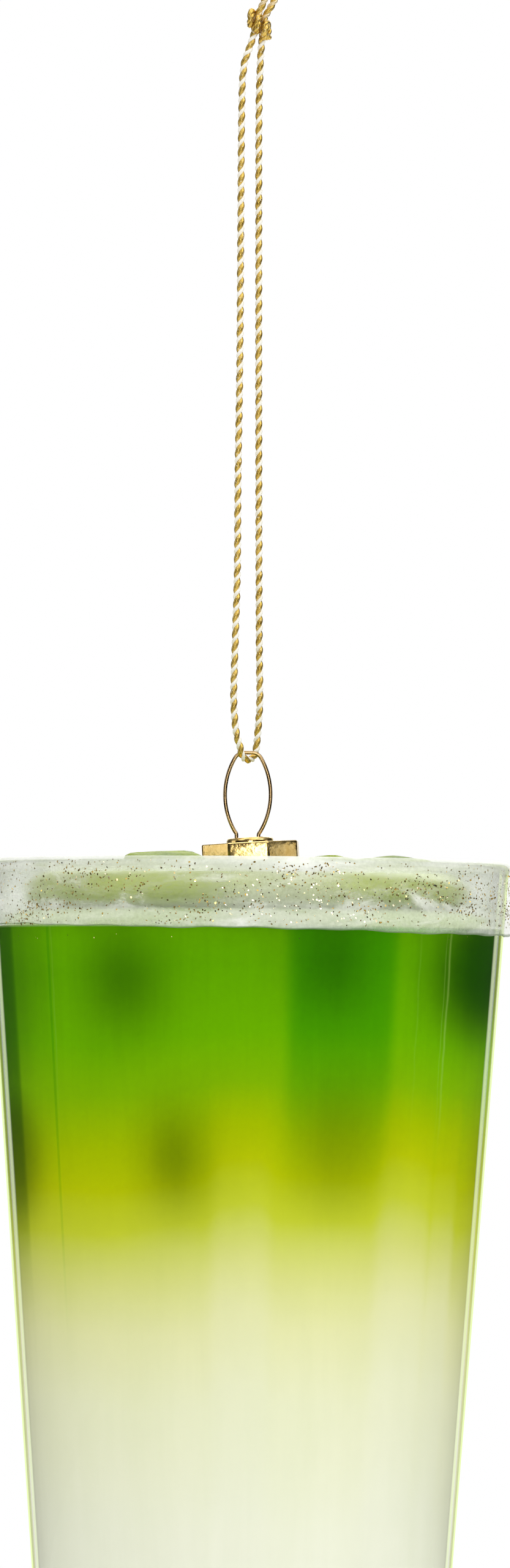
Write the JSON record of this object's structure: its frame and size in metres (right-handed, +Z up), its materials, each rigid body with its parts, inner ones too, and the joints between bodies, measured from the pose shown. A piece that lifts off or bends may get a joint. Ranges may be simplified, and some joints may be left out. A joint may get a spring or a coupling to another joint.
{
  "type": "hanging glass drink ornament",
  "caption": "Tapered glass tumbler of green milk tea with a sugared rim and ice, hung from a gold cap, wire eye and knotted cord.",
  "frame": {"origin": "the inside top of the cord loop, just under its knot, where a hook or twig carries the ornament", "axes": "+Z up along the ornament's axis, +X across the wire eye, -Y towards the viewer"},
  "size_m": [0.0612, 0.0612, 0.1976],
  "materials": {
    "glass": "clear polished glass",
    "drink": "gloss lacquer, airbrushed from deep green at the top to milky at the bottom",
    "matcha": "gloss green lacquer on glass",
    "sugar": "frosted translucent crust with gold glitter",
    "ice": "wet gloss, cloudy green",
    "cap": "bright gold plating",
    "wire": "gold wire",
    "cord": "twisted metallic gold thread"
  },
  "bodies": {
    "cord": {"cord_loop": "cord", "cord_knot": "cord", "cord_tail_1": "cord", "cord_tail_2": "cord"},
    "hanger": {"hanger_wire": "wire"},
    "cap": {"crown_cap": "cap"},
    "ornament": {"glass_tumbler": "glass", "drink_vessel": "drink", "matcha_top": "matcha", "rim_sugar": "sugar", "ice_cube_1": "ice", "ice_cube_2": "ice", "ice_cube_3": "ice", "ice_cube_4": "ice", "ice_cube_5": "ice", "ice_cube_6": "ice"}
  },
  "joints": [
    {"name": "eye_swing", "type": "hinge", "parent": "cord", "child": "hanger", "pos_m": [0, 0, -0.082], "axis": [1, 0, 0], "range_deg": [-60, 60]},
    {"name": "cap_rock", "type": "hinge", "parent": "hanger", "child": "cap", "pos_m": [0, 0, -0.09195], "axis": [1, 0, 0], "range_deg": [-8, 8]},
    {"name": "neck_pull", "type": "slide", "parent": "cap", "child": "ornament", "axis": [0, 0, -1], "range_m": [0, 0.012]}
  ]
}
